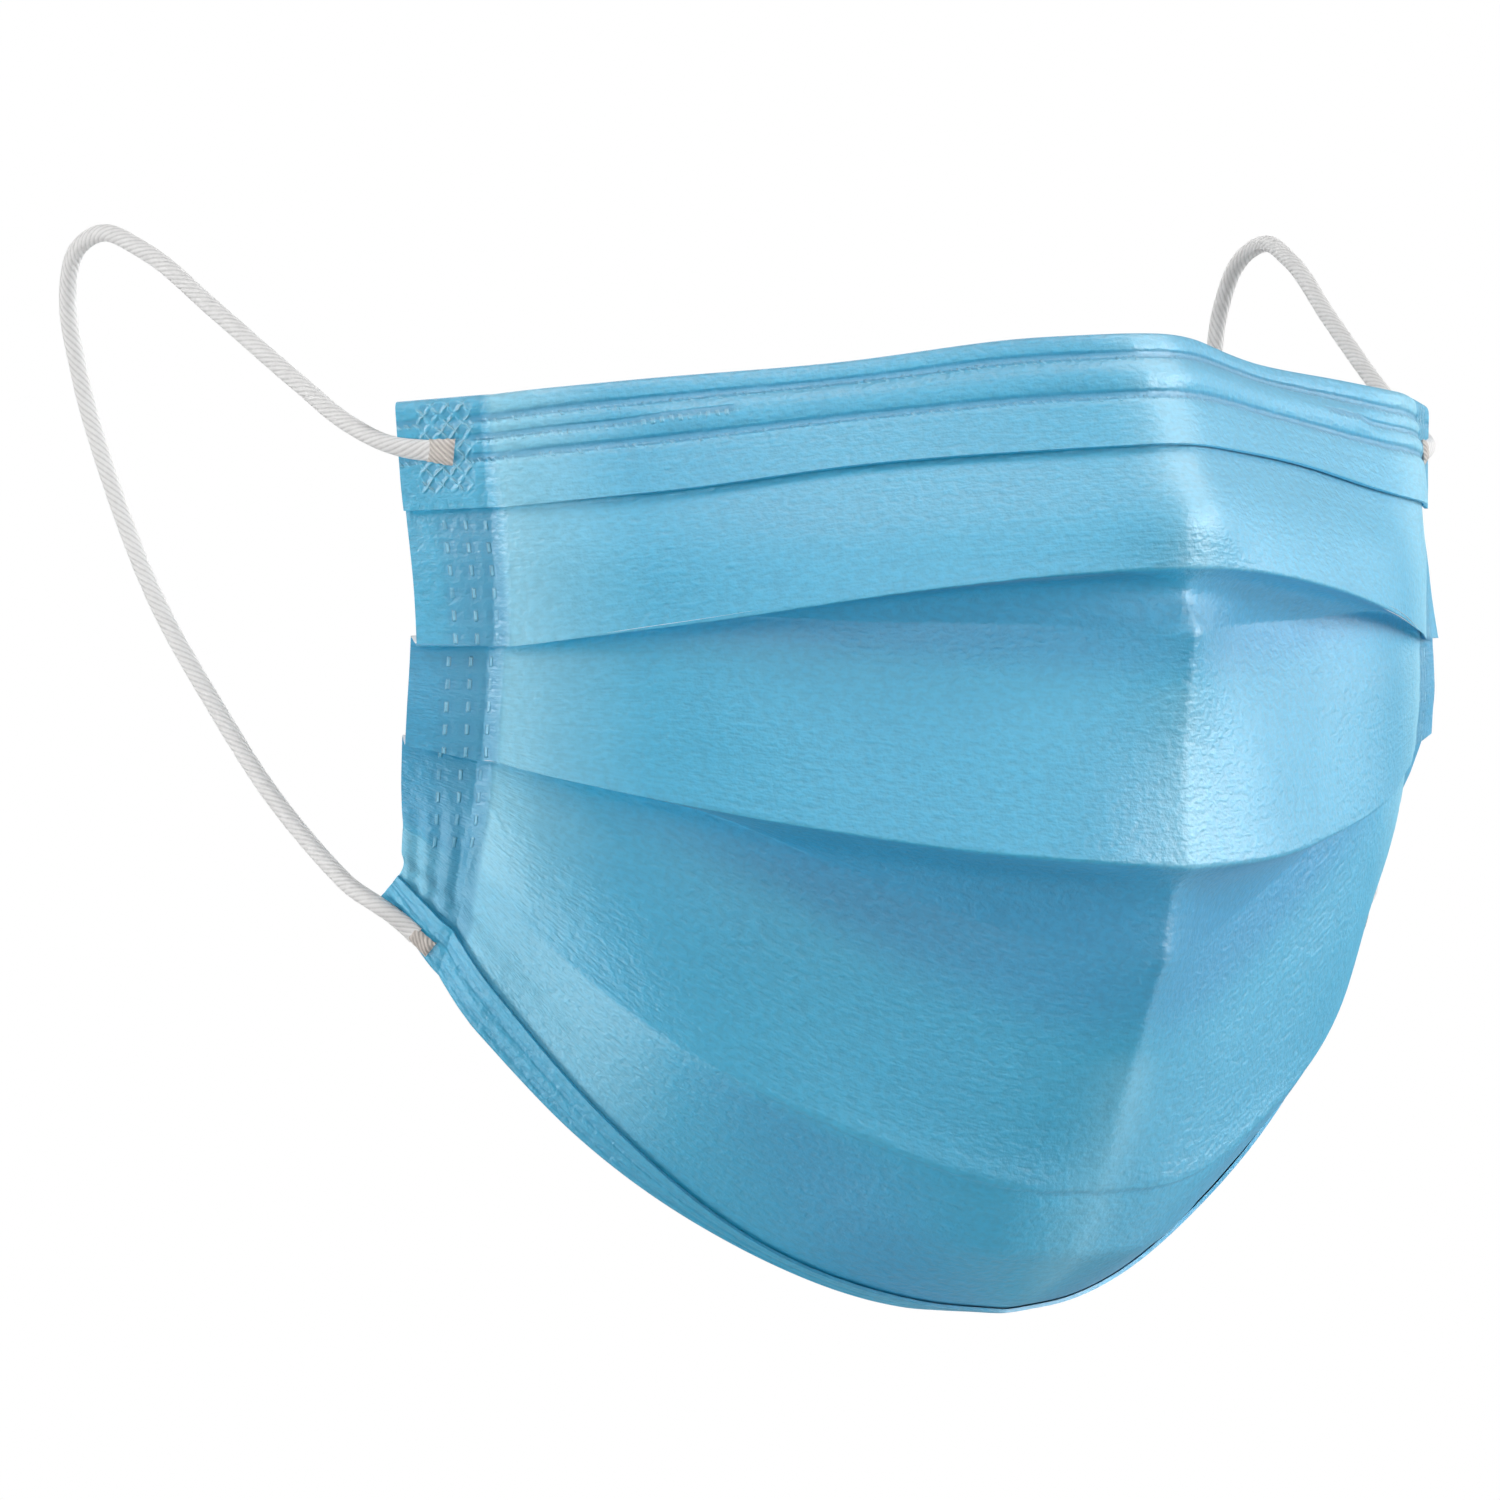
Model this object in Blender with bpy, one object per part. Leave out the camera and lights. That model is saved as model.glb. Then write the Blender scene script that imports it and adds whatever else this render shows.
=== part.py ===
# Pleated face mask, held open as it is when worn: a pleated cloth panel, a bound top edge with a
# nose wire in it, a bound bottom edge, and two elastic ear loops with pressed ends.
# Metres. X runs across the face, Y from the front to the back, Z up.
# The frame's origin is where the inside of the top edge rests on the bridge of the nose.
import math

import bmesh
import bpy
import numpy as np
from mathutils import Matrix, Vector

# Size of the mask in its open form
MASK_HEIGHT = 0.123
MASK_DEPTH = 0.070
HALF_WIDTH = 0.078
RIDGE_SHARE = 0.87

# Nose rest, measured from the foremost fold and from the lowest point of the chin
REST_DEPTH = 0.0165
REST_HEIGHT = 0.116

# Cloth
WALL = 0.001
BAND_WALL = 0.001
CLEARANCE = 0.0004
RIDGE_LIFT = 0.0018
RIDGE_INNER_REACH = 0.012
RIDGE_OUTER_REACH = 0.0022
NOSE_ROUNDING = 0.0012
SHARP_ANGLE = 35

# Step along the cloth over which its slope is taken
SLOPE_STEP = 0.0005

# Bound edges: the top one is measured along the cloth from the edge itself, and the hem's inner
# leg and the panel's cut edge inside it are shares of the hem's own width
TOP_BAND_INNER_LEG = 0.012
PANEL_TOP_INSET = 0.0095
HEM_INNER_SHARE = 0.85
PANEL_HEM_SHARE = 0.45

# Rows of a bound edge: shares of its outer leg, degrees round its fold, shares of its inner leg
OUTER_LEG_ROWS = (0, 0.35, 0.7, 1)
TURN_ROWS = (45, 90, 135)
INNER_LEG_ROWS = (0, 0.5, 1)

# Nose wire: the end inset is from the side edge, the top inset along the cloth from the top edge
WIRE_END_INSET = 0.026
WIRE_TOP_INSET = 0.0062
WIRE_WIDTH = 0.0032
WIRE_THICKNESS = 0.0008

# Ear loops and their pressed ends
CORD_DIAMETER = 0.0022
CORD_POINTS = 78
STRAIGHT_DIAMETERS = 1.8
TAB_LENGTH = 0.0028
TAB_WIDTH = 0.0032
TAB_THICKNESS = 0.0012
TAB_BEVEL = 0.00024

# Places of the pressed ends: metres along the cloth from the nearer bound edge, share of the half
# width, and slope in metres down for each metre outwards
LOOP_ENDS = {
    "top": (0.0077, 0.95, -0.2),
    "bottom": (0.0022, 0.925, -0.25),
}

# Where the sections' points stand between the nose (0) and the bulge ridge beside the weld (1)
STATIONS = (0.0, 0.15, 0.45, 0.75, 1.0)

# Sections and folds from the top edge to the chin. Depth is a percentage of MASK_DEPTH behind the
# foremost fold, height a percentage of MASK_HEIGHT above the chin, both at nose, nostril, cheek,
# jaw and ridge. The side edge has its own width, depth and height, the width in HALF_WIDTH.
SECTIONS = {
    #               depth                       height                         side edge
    "top edge":    ((18, 29, 48, 63, 74),       (100, 99.5, 97, 95.5, 94),     (99.4, 88, 93)),
    "band edge":   ((7.5, 16, 35, 52.5, 70),    (88.5, 88, 86.5, 84, 82.5),    (98.5, 86.5, 82)),
    "nose panel":  ((0, 8, 26, 46, 69.5),       (82, 81.5, 80, 77.5, 75.5),    (98.5, 84, 75)),
    "fold one":    ((0, 5.5, 21.5, 43, 70),     (76.5, 76, 74, 71, 68.5),      (99, 82, 68.5)),
    "under one":   ((4, 12.5, 29.5, 46.5, 71),    (74, 74.5, 73.5, 71.5, 69),    (99, 83, 69)),
    "valley one":  ((1, 14.5, 33, 49, 72),        (70, 70.5, 71, 71.5, 69.5),    (99, 84, 69.5)),
    "mouth panel": ((3.5, 9, 28, 47, 72.5),       (58.5, 58.5, 60, 62, 62.5),    (99.5, 84, 64)),
    "fold two":    ((2.5, 5.5, 24, 46.5, 74),   (46.5, 47, 49, 52.5, 56.5),    (99.5, 85, 58.5)),
    "under two":   ((8, 16.5, 33, 51, 75),        (43.5, 44.5, 47.5, 52.5, 56.8), (99.5, 85.5, 59)),
    "valley two":  ((10.5, 21.5, 38, 54.5, 76),   (37, 39, 45.5, 53, 57),        (99.5, 86, 59.5)),
    "lip panel":   ((19.5, 26.5, 41.5, 56.5, 78), (27, 27.5, 32.5, 41.5, 51),    (98, 89, 54.5)),
    "fold three":  ((31.5, 32.5, 44.5, 62, 83.5), (13.5, 14, 20, 30.5, 45.5),    (96, 92, 50.5)),
    "chin turn":   ((39.5, 41.5, 57, 70, 86),     (6.6, 7.2, 14.8, 26.5, 42.5),  (95.5, 93.5, 48)),
    "hem edge":    ((60, 63.5, 73, 79.5, 88.5), (1, 2, 8.5, 22, 39),           (95, 95, 45.5)),
    "bottom edge": ((71.5, 71.5, 77, 86.5, 94.5), (1, 1.5, 7.5, 18.5, 33),     (95.5, 100.5, 43)),
}

# The sections where the cloth is creased: it runs smoothly from each to the next
CREASES = ("top edge", "fold one", "valley one", "fold two", "valley two", "fold three",
           "chin turn", "bottom edge")

# Rows of faces from one section to a later one
FACE_ROWS = (
    ("top edge", "band edge", 2),
    ("band edge", "fold one", 5),
    ("fold one", "valley one", 3),
    ("valley one", "fold two", 6),
    ("fold two", "valley two", 3),
    ("valley two", "fold three", 6),
    ("fold three", "chin turn", 3),
    ("chin turn", "hem edge", 3),
    ("hem edge", "bottom edge", 2),
)

# Half of the columns across the cloth, as shares of the half width
HALF_COLUMNS = (0.02, 0.05, 0.1, 0.17, 0.25, 0.34, 0.43, 0.52, 0.61, 0.7, 0.78, 0.84,
                RIDGE_SHARE, 0.895, 0.93, 0.965, 1.0)

# The left loop's route behind its two pressed ends: half width, depth behind the foremost fold,
# height above the chin
LOOP_ROUTE = (
    (0.0802, 0.0680, 0.1115),
    (0.0820, 0.0780, 0.1170),
    (0.0848, 0.0925, 0.1257),
    (0.0876, 0.1055, 0.1334),
    (0.0890, 0.1135, 0.1357),
    (0.0892, 0.1200, 0.1330),
    (0.0885, 0.1228, 0.1270),
    (0.0872, 0.1225, 0.1190),
    (0.0855, 0.1170, 0.1040),
    (0.0835, 0.1093, 0.0895),
    (0.0810, 0.0990, 0.0762),
    (0.0787, 0.0888, 0.0650),
    (0.0767, 0.0795, 0.0572),
)


def hermite(stations, values, at):
    stations = np.asarray(stations, float)
    values = np.asarray(values, float)
    at = np.asarray(at, float)
    slopes = np.gradient(values, stations, axis=0)
    first = np.clip(np.searchsorted(stations, at, side="right") - 1, 0, len(stations) - 2)
    gap = stations[first + 1] - stations[first]
    share = (at - stations[first]) / gap
    shape = share.shape + (1,) * (values.ndim - 1)
    share = share.reshape(shape)
    gap = gap.reshape(shape)
    start = 2 * share**3 - 3 * share**2 + 1
    end = 3 * share**2 - 2 * share**3
    rise = share**3 - 2 * share**2 + share
    fall = share**3 - share**2
    return (start * values[first] + end * values[first + 1]
            + gap * (rise * slopes[first] + fall * slopes[first + 1]))


def sectionCurve(name, across):
    depths, heights, edge = SECTIONS[name]
    half = np.sqrt((across * HALF_WIDTH) ** 2 + NOSE_ROUNDING**2) - NOSE_ROUNDING
    ridgeX = RIDGE_SHARE * HALF_WIDTH
    inside = np.minimum(half / ridgeX, 1)
    depth = hermite(STATIONS, np.array(depths) / 100 * MASK_DEPTH, inside)
    height = hermite(STATIONS, np.array(heights) / 100 * MASK_HEIGHT, inside)
    weld = np.clip((np.abs(across) - RIDGE_SHARE) / (1 - RIDGE_SHARE), 0, 1)
    edgeX = edge[0] / 100 * HALF_WIDTH
    width = np.minimum(np.abs(across) * HALF_WIDTH, ridgeX)
    width = width + weld * (edgeX - ridgeX)
    depth = depth + weld * (edge[1] / 100 * MASK_DEPTH - depth)
    height = height + weld * (edge[2] / 100 * MASK_HEIGHT - height)
    inner = np.clip(1 - (ridgeX - half) / RIDGE_INNER_REACH, 0, 1) ** 2
    outer = np.clip(1 - (weld * (HALF_WIDTH - ridgeX) / RIDGE_OUTER_REACH) ** 2, 0, 1) ** 2
    depth = depth - RIDGE_LIFT * np.where(weld > 0, outer, inner)
    return np.stack([np.sign(across) * width, depth - REST_DEPTH, height - REST_HEIGHT], axis=-1)


def sectionRuns():
    # Length along the cloth from the top edge to each section, as the mean of a few columns
    curves = np.array([sectionCurve(name, np.linspace(0, RIDGE_SHARE, 6)) for name in SECTIONS])
    steps = np.linalg.norm(np.diff(curves, axis=0), axis=-1).mean(axis=1)
    return dict(zip(SECTIONS, np.concatenate([[0], np.cumsum(steps)])))


RUNS = sectionRuns()
ORDER = list(SECTIONS)
BAND_RUN = RUNS["band edge"]
HEM_RUN = RUNS["hem edge"]
LAST_RUN = RUNS["bottom edge"]
HEM_WIDTH = LAST_RUN - HEM_RUN


def clothRow(run, across):
    last = next(index for index, name in enumerate(CREASES) if index and run <= RUNS[name] + 1e-9)
    names = ORDER[ORDER.index(CREASES[last - 1]):ORDER.index(CREASES[last]) + 1]
    curves = [sectionCurve(name, across) for name in names]
    return hermite([RUNS[name] for name in names], curves, np.array([run]))[0]


def clothFrame(run, across):
    # Point of the cloth's outer face, its outward normal and the direction down the cloth
    inner = min(max(run, SLOPE_STEP), LAST_RUN - SLOPE_STEP)
    down = clothRow(inner + SLOPE_STEP, across) - clothRow(inner - SLOPE_STEP, across)
    share = SLOPE_STEP / HALF_WIDTH
    side = clothRow(run, across + share) - clothRow(run, across - share)
    normal = np.cross(down, side)
    normal /= np.linalg.norm(normal, axis=-1, keepdims=True)
    down /= np.linalg.norm(down, axis=-1, keepdims=True)
    return clothRow(run, across), normal, down


def material(name, colour, roughness, metallic):
    made = bpy.data.materials.new(name)
    made.use_nodes = True
    shader = made.node_tree.nodes["Principled BSDF"]
    shader.inputs["Base Color"].default_value = (*colour, 1)
    shader.inputs["Roughness"].default_value = roughness
    shader.inputs["Metallic"].default_value = metallic
    return made


def addObject(name, data, surface):
    made = bpy.data.objects.new(name, data)
    made.data.materials.append(surface)
    bpy.context.scene.collection.objects.link(made)
    return made


def sheetObject(name, rows, wall, surface):
    # Rows of points, top first, made one sheet and given its wall on the inner side
    shape = np.array(rows)
    rowCount, columnCount = shape.shape[:2]
    mesh = bmesh.new()
    bmesh.ops.create_grid(mesh, x_segments=columnCount - 1, y_segments=rowCount - 1, size=1)
    mesh.verts.ensure_lookup_table()
    for vertex, point in zip(mesh.verts, shape[::-1].reshape(-1, 3)):
        vertex.co = point
    data = bpy.data.meshes.new(name)
    mesh.to_mesh(data)
    mesh.free()
    data.shade_smooth()
    data.set_sharp_from_angle(angle=math.radians(SHARP_ANGLE))
    made = addObject(name, data, surface)
    solid = made.modifiers.new("wall", "SOLIDIFY")
    solid.thickness = wall
    solid.offset = -1
    solid.use_even_offset = True
    solid.use_quality_normals = True
    return made


def columns():
    half = np.array(HALF_COLUMNS)
    return np.concatenate([-half[::-1], [0], half])


def panelRuns():
    first = PANEL_TOP_INSET
    last = LAST_RUN - HEM_WIDTH * PANEL_HEM_SHARE
    runs = [first]
    for start, end, steps in FACE_ROWS:
        begin = max(RUNS[start], first)
        finish = min(RUNS[end], last)
        runs.extend(begin + (finish - begin) * step / steps for step in range(1, steps + 1))
    return runs


def maskPanel(surface):
    across = columns()
    rows = [clothRow(run, across) for run in panelRuns()]
    return sheetObject("mask_panel", rows, WALL, surface)


def bandRows(edgeRun, outerRun, innerRun, turnSign):
    # A strip folded over an edge of the panel: outer leg, half turn, inner leg
    across = columns()
    radius = WALL / 2 + CLEARANCE + BAND_WALL
    turnRun = edgeRun + turnSign * radius
    rows = []
    for share in OUTER_LEG_ROWS:
        point, normal, down = clothFrame(outerRun + (turnRun - outerRun) * share, across)
        rows.append(point + normal * (radius - WALL / 2))
    for angle in TURN_ROWS:
        lean = math.radians(angle)
        rows.append(point - normal * WALL / 2 + radius
                    * (normal * math.cos(lean) - turnSign * down * math.sin(lean)))
    for share in INNER_LEG_ROWS:
        point, normal, down = clothFrame(turnRun + (innerRun - turnRun) * share, across)
        rows.append(point - normal * (radius + WALL / 2))
    return rows


def topBand(surface):
    rows = bandRows(0, BAND_RUN, TOP_BAND_INNER_LEG, 1)
    return sheetObject("top_band", rows[::-1], BAND_WALL, surface)


def bottomBand(surface):
    rows = bandRows(LAST_RUN, HEM_RUN, LAST_RUN - HEM_WIDTH * HEM_INNER_SHARE, -1)
    return sheetObject("bottom_band", rows, BAND_WALL, surface)


def noseWire(surface):
    reach = 1 - WIRE_END_INSET / HALF_WIDTH
    across = np.array([share for share in columns() if abs(share) < reach] + [-reach, reach])
    across.sort()
    point, normal, down = clothFrame(WIRE_TOP_INSET, across)
    centre = point - normal * WALL / 2
    mesh = bmesh.new()
    corners = []
    for thick, wide in ((1, -1), (1, 1), (-1, 1), (-1, -1)):
        line = centre + normal * thick * WIRE_THICKNESS / 2 + down * wide * WIRE_WIDTH / 2
        corners.append([mesh.verts.new(place) for place in line])
    for side in range(4):
        here = corners[side]
        there = corners[(side + 1) % 4]
        for step in range(len(across) - 1):
            mesh.faces.new((here[step], here[step + 1], there[step + 1], there[step]))
    mesh.faces.new([line[0] for line in corners])
    mesh.faces.new([line[-1] for line in reversed(corners)])
    bmesh.ops.recalc_face_normals(mesh, faces=mesh.faces)
    data = bpy.data.meshes.new("nose_wire")
    mesh.to_mesh(data)
    mesh.free()
    return addObject("nose_wire", data, surface)


def tabFrame(side, place):
    inset, share, slope = LOOP_ENDS[place]
    run = inset if place == "top" else LAST_RUN - inset
    across = np.array([side * share])
    point, normal, down = (values[0] for values in clothFrame(run, across))
    outward = np.cross(normal, down)
    if outward[0] * side < 0:
        outward = -outward
    along = outward + slope * down
    along /= np.linalg.norm(along)
    surfaceLift = CLEARANCE + BAND_WALL
    return point + normal * surfaceLift, normal, along


def loopWeld(sideName, side, place, surface):
    base, normal, along = tabFrame(side, place)
    wide = np.cross(normal, along)
    centre = base + normal * (CLEARANCE + TAB_THICKNESS / 2)
    name = f"loop_weld_{sideName}_{place}"
    mesh = bmesh.new()
    bmesh.ops.create_cube(mesh, size=1)
    bmesh.ops.scale(mesh, vec=(TAB_LENGTH, TAB_WIDTH, TAB_THICKNESS), verts=mesh.verts)
    bmesh.ops.bevel(mesh, geom=list(mesh.edges), offset=TAB_BEVEL, segments=1, profile=0.5,
                    affect="EDGES", material=-1)
    data = bpy.data.meshes.new(name)
    mesh.to_mesh(data)
    mesh.free()
    made = addObject(name, data, surface)
    turn = Matrix((along, wide, normal)).transposed()
    made.matrix_world = Matrix.Translation(Vector(centre)) @ turn.to_4x4()
    return made


def loopRoute(side):
    lift = CLEARANCE + CORD_DIAMETER / 2
    ends = {}
    for place in LOOP_ENDS:
        base, normal, along = tabFrame(side, place)
        start = base + normal * lift + along * (TAB_LENGTH / 2 + CLEARANCE)
        ends[place] = (start, start + along * CORD_DIAMETER * STRAIGHT_DIAMETERS)
    route = [ends["top"][0], ends["top"][1]]
    for width, depth, height in LOOP_ROUTE:
        route.append(np.array([side * width, depth - REST_DEPTH, height - REST_HEIGHT]))
    route.extend([ends["bottom"][1], ends["bottom"][0]])
    return np.array(route)


def smoothRoute(route, count):
    gaps = np.linalg.norm(np.diff(route, axis=0), axis=1)
    stations = np.concatenate([[0], np.cumsum(gaps)])
    return hermite(stations, route, np.linspace(0, stations[-1], count))


def earLoop(sideName, side, surface):
    name = f"ear_loop_{sideName}"
    points = smoothRoute(loopRoute(side), CORD_POINTS)
    data = bpy.data.curves.new(name, "CURVE")
    data.dimensions = "3D"
    data.bevel_depth = CORD_DIAMETER / 2
    data.bevel_resolution = 2
    data.use_fill_caps = True
    spline = data.splines.new("POLY")
    spline.points.add(len(points) - 1)
    for target, place in zip(spline.points, points):
        target.co = (*place, 1)
    return addObject(name, data, surface)


def main():
    for item in list(bpy.data.objects):
        bpy.data.objects.remove(item, do_unlink=True)
    cloth = material("blue nonwoven", (0.115, 0.435, 0.672), 0.62, 0.0)
    wire = material("nose wire", (0.72, 0.73, 0.75), 0.4, 0.0)
    elastic = material("ear loop elastic", (0.70, 0.70, 0.69), 0.8, 0.0)
    pressed = material("pressed elastic", (0.62, 0.58, 0.55), 0.7, 0.0)
    maskPanel(cloth)
    topBand(cloth)
    bottomBand(cloth)
    noseWire(wire)
    for sideName, side in (("left", -1), ("right", 1)):
        for place in LOOP_ENDS:
            loopWeld(sideName, side, place, pressed)
        earLoop(sideName, side, elastic)


main()
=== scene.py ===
# Pleated face mask, held open as it is when worn, dressed for a studio picture.
# X runs across the face, Y from the front to the back, Z up. Metres.
import math

import bmesh
import bpy
import numpy as np
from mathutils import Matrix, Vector, noise


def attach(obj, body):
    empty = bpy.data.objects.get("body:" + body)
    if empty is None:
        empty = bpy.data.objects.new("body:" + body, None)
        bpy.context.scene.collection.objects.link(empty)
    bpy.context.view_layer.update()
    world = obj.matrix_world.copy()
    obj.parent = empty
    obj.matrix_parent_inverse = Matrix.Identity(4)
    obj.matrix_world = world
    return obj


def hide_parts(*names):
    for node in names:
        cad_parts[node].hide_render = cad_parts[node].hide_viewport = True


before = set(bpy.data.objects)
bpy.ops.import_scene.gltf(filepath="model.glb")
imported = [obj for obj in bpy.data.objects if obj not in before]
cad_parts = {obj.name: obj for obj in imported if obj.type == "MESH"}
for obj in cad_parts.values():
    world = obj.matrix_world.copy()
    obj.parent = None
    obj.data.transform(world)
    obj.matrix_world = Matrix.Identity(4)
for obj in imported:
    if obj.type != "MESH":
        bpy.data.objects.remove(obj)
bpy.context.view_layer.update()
print("frame loaded")


# camera: level with the mouth, from the wearer's right
view = {
    "target": (0, 0.0845, -0.046),
    "azimuth": -33,
    "elevation": 1.1,
    "distance": 1.95,
    "lens": 365,
    "sensor": 36,
}


def aim(azimuth, elevation):
    # from the place at this azimuth and elevation towards the middle; azimuth 0 is in front
    flat = math.cos(math.radians(elevation))
    return Vector((-math.sin(math.radians(azimuth)) * flat, math.cos(math.radians(azimuth)) * flat,
                   -math.sin(math.radians(elevation))))


def placeCamera():
    data = bpy.data.cameras.new("studioCamera")
    data.lens = view["lens"]
    data.sensor_width = view["sensor"]
    camera = bpy.data.objects.new("studioCamera", data)
    direction = aim(view["azimuth"], view["elevation"])
    camera.location = Vector(view["target"]) - direction * view["distance"]
    camera.rotation_euler = direction.to_track_quat("-Z", "Y").to_euler()
    bpy.context.scene.collection.objects.link(camera)
    bpy.context.scene.camera = camera


placeCamera()
print("camera placed")


# the cloth's shape: the part's own sections, with rounder folds and a thinner wall
cloth = {
    "height": 0.123,
    "depth": 0.070,
    "halfWidth": 0.078,
    "ridgeShare": 0.87,
    "crestShare": 0.886,
    "turnShare": 0.045,
    "ridgeLift": 0.0018,
    "ridgeInnerReach": 0.013,
    "ridgeOuterReach": 0.0012,
    "noseRounding": 0.0012,
    "restDepth": 0.0165,
    "restHeight": 0.116,
    "foldSpread": 0.00018,
    "chinSpread": 0.0007,
    "chinReach": 0.0035,
    "foldRows": (-0.9, -0.6, -0.35, -0.15, 0, 0.15, 0.35, 0.6, 0.9),   # mm from each fold
    "wall": 0.0006,
}

stations = (0.0, 0.15, 0.45, 0.75, 1.0)   # from the nose to the bulge ridge beside the weld

sections = {
    # depth %, height % at the stations, then the side edge's width, depth and height %
    "top edge": ((18, 29, 48, 63, 74), (100, 99.5, 97, 95.5, 94), (99.4, 88, 93)),
    "band edge": ((7.5, 16, 35, 52.5, 70), (88.5, 88, 86.5, 84, 82.5), (98.5, 86.5, 82)),
    "nose panel": ((0, 8, 26, 46, 69.5), (82, 81.5, 80, 77.5, 75.5), (98.5, 84, 75)),
    "fold one": ((0, 5.5, 21.5, 43, 70), (76.5, 76, 74, 71, 68.5), (99, 82, 68.5)),
    "under one": ((4, 12.5, 29.5, 46.5, 71), (74, 74.5, 73.5, 71.5, 69), (99, 83, 69)),
    "valley one": ((1, 14.5, 33, 49, 72), (70, 70.5, 71, 71.5, 69.5), (99, 84, 69.5)),
    "mouth panel": ((3.5, 9, 28, 47, 72.5), (58.5, 58.5, 60, 62, 62.5), (99.5, 84, 64)),
    "fold two": ((2.5, 5.5, 24, 46.5, 74), (46.5, 47, 49, 52.5, 56.5), (99.5, 85, 58.5)),
    "under two": ((8, 16.5, 33, 51, 75), (43.5, 44.5, 47.5, 52.5, 56.8), (99.5, 85.5, 59)),
    "valley two": ((10.5, 21.5, 38, 54.5, 76), (37, 39, 45.5, 53, 57), (99.5, 86, 59.5)),
    "lip panel": ((19.5, 26.5, 41.5, 56.5, 78), (27, 27.5, 32.5, 41.5, 51), (98, 89, 54.5)),
    "fold three": ((31.5, 32.5, 44.5, 62, 83.5), (13.5, 14, 20, 30.5, 45.5), (96, 92, 50.5)),
    "chin turn": ((39.5, 41.5, 57, 70, 86), (6.6, 7.2, 14.8, 26.5, 42.5), (95.5, 93.5, 48)),
    "hem edge": ((60, 63.5, 73, 79.5, 88.5), (1, 2, 8.5, 22, 39), (95, 95, 45.5)),
    "bottom edge": ((71.5, 71.5, 77, 86.5, 94.5), (1, 1.5, 7.5, 18.5, 33), (95.5, 100.5, 43)),
}

softBridge = {"top edge": 0.0042, "band edge": 0.003, "nose panel": 0.0022, "fold one": 0.0016}

# share of the bulge ridge's lift where it runs out
crestFade = {"top edge": 0.2, "band edge": 0.75, "fold three": 0.6, "chin turn": 0.25,
             "hem edge": 0, "bottom edge": 0}

creases = ("top edge", "fold one", "valley one", "fold two", "valley two", "fold three",
           "chin turn", "bottom edge")


def hermite(marks, values, at):
    marks = np.asarray(marks, float)
    values = np.asarray(values, float)
    at = np.asarray(at, float)
    slopes = np.gradient(values, marks, axis=0)
    first = np.clip(np.searchsorted(marks, at, side="right") - 1, 0, len(marks) - 2)
    gap = marks[first + 1] - marks[first]
    share = (at - marks[first]) / gap
    shape = share.shape + (1,) * (values.ndim - 1)
    share = share.reshape(shape)
    gap = gap.reshape(shape)
    start = 2 * share**3 - 3 * share**2 + 1
    rise = share**3 - 2 * share**2 + share
    fall = share**3 - share**2
    return (start * values[first] + (1 - start) * values[first + 1]
            + gap * (rise * slopes[first] + fall * slopes[first + 1]))


def ridgeBump(reach):
    return np.clip(1 - reach**2, 0, 1) ** 2


def sectionCurve(name, across, bridge=True):
    depths, heights, edge = sections[name]
    rounding = cloth["noseRounding"]
    half = np.sqrt((across * cloth["halfWidth"]) ** 2 + rounding**2) - rounding
    if bridge and name in softBridge:
        # rounder over the bridge of the nose, the same again a few rounding lengths away
        extra = softBridge[name]
        fade = np.exp(-(half / (3 * extra)) ** 2)
        half = np.sqrt(half**2 + extra**2 * fade) - extra * fade
    ridgeX = cloth["ridgeShare"] * cloth["halfWidth"]
    inside = np.minimum(half / ridgeX, 1)
    depth = hermite(stations, np.array(depths) / 100 * cloth["depth"], inside)
    height = hermite(stations, np.array(heights) / 100 * cloth["height"], inside)
    # the turn into the weld strip is eased on both sides of the ridge
    past = np.abs(across) - cloth["ridgeShare"]
    turn = cloth["turnShare"]
    past = np.where(np.abs(past) < turn, (past + turn) ** 2 / (4 * turn), np.clip(past, 0, None))
    weld = past / (1 - cloth["ridgeShare"])
    width = (np.abs(across) - past) * cloth["halfWidth"]
    width = width + weld * (edge[0] / 100 * cloth["halfWidth"] - ridgeX)
    depth = depth + weld * (edge[1] / 100 * cloth["depth"] - depth)
    height = height + weld * (edge[2] / 100 * cloth["height"] - height)
    toCrest = (cloth["crestShare"] - np.abs(across)) * cloth["halfWidth"]
    inner = np.clip(1 - toCrest / cloth["ridgeInnerReach"], 0, 1) ** 2
    outer = ridgeBump(toCrest / cloth["ridgeOuterReach"])
    crest = np.where(toCrest > 0, inner, outer)
    depth = depth - cloth["ridgeLift"] * crestFade.get(name, 1) * crest
    return np.stack([np.sign(across) * width, depth - cloth["restDepth"],
                     height - cloth["restHeight"]], axis=-1)


def sectionRuns():
    # distance down the cloth to each section, as the mean of a few columns
    few = np.linspace(0, cloth["ridgeShare"], 6)
    curves = np.array([sectionCurve(name, few) for name in sections])
    steps = np.linalg.norm(np.diff(curves, axis=0), axis=-1).mean(axis=1)
    return dict(zip(sections, np.concatenate([[0], np.cumsum(steps)])))


runAt = sectionRuns()
lastRun = runAt["bottom edge"]
hemWidth = lastRun - runAt["hem edge"]

paintedShadeFolds = (
    # painted shade under the first two pleats: fold, valley, how far beyond it the painted shade
    # reaches, how much less to the sides, its amount, and the half width where it fades
    ("fold one", "valley one", 0.008, 0.003, 0.7, 0.060),
    ("fold two", "valley two", 0.017, 0.009, 1.0, 0.038),
)


def clothRows(runs, across, bridge=True):
    order = list(sections)
    rows = np.empty((len(runs), len(across), 3))
    for first, last in zip(creases, creases[1:]):
        names = order[order.index(first):order.index(last) + 1]
        curves = np.array([sectionCurve(name, across, bridge) for name in names])
        inside = (runs >= runAt[first] - 1e-9) & (runs <= runAt[last] + 1e-9)
        rows[inside] = hermite([runAt[name] for name in names], curves, runs[inside])
    return rows


def innerRows(runs, across):
    # the layer behind the nose wire, which keeps the sharper bridge
    return clothRows(runs, across, False)


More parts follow.
